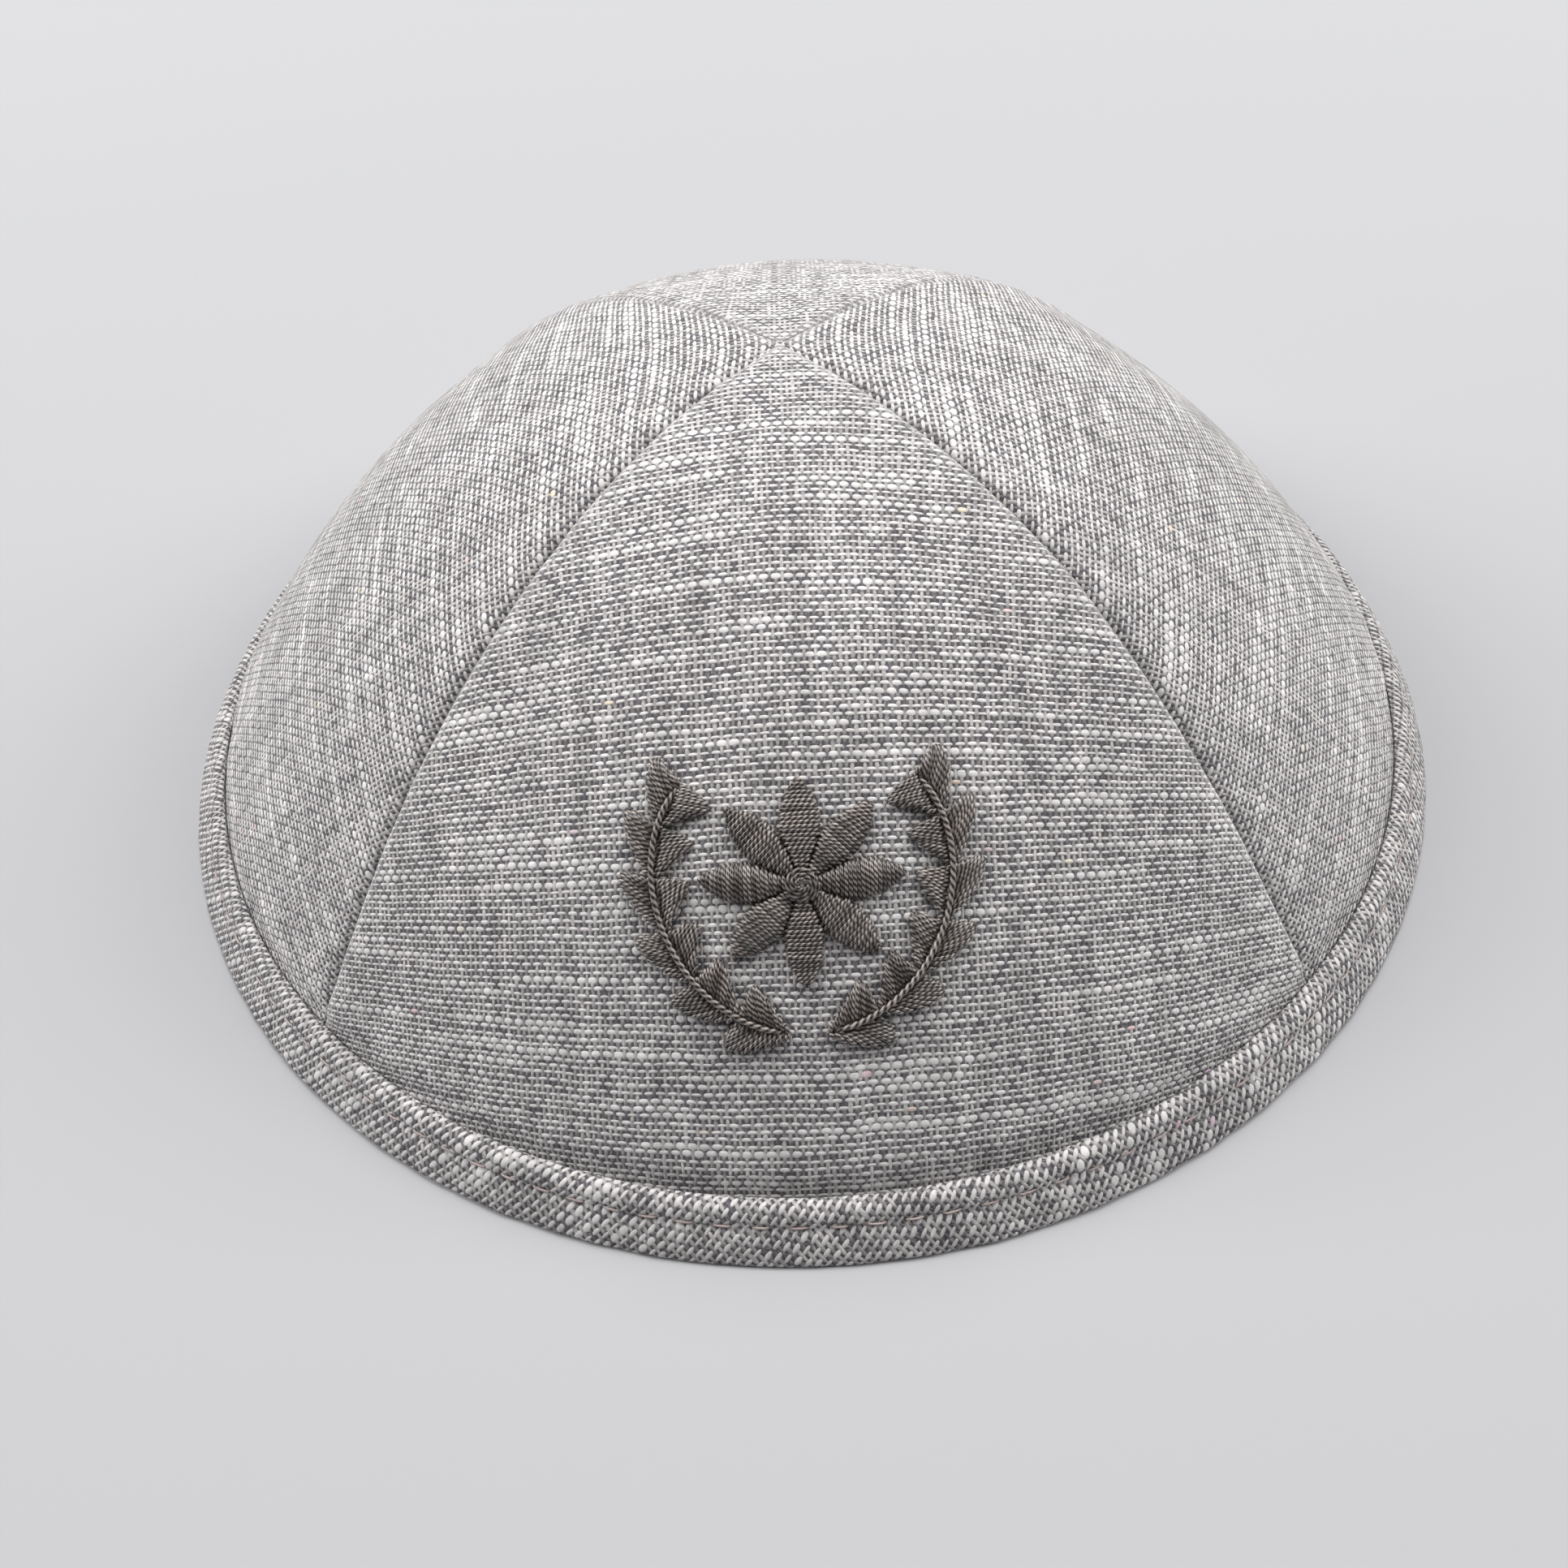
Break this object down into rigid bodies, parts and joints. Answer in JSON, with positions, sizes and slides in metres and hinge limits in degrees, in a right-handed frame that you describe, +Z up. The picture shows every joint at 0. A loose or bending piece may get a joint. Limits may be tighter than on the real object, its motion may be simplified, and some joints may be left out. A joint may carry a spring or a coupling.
{
  "type": "kippah skullcap",
  "caption": "Domed, hollow cloth skullcap sewn from gored panels, with a folded bias binding round its rim and a raised embroidered rosette between two sprigs on the front.",
  "frame": {"origin": "on the plane that the rim rests on, at the middle of the rim, straight under the crossing of the seams", "axes": "+Z up through the crown; -Y is the front, with the embroidered panel; +X is to the viewer's right when the front is seen"},
  "size_m": [0.1552, 0.16, 0.0498],
  "materials": {
    "linen_shell": "linen-look plain weave in white and slate-grey melange yarn, matt, with thick and thin picks",
    "bias_binding": "the same plain weave cut on the bias, folded over the rim and topstitched",
    "embroidery_thread": "dark brown-grey two-ply embroidery thread in satin stitch, with a silky sheen"
  },
  "bodies": {
    "root": {"panel_front": "linen_shell", "panel_right": "linen_shell", "panel_back": "linen_shell", "panel_left": "linen_shell", "rim_binding": "bias_binding", "embroidery_rosette": "embroidery_thread", "embroidery_sprig_right": "embroidery_thread", "embroidery_sprig_left": "embroidery_thread"}
  },
  "joints": []
}
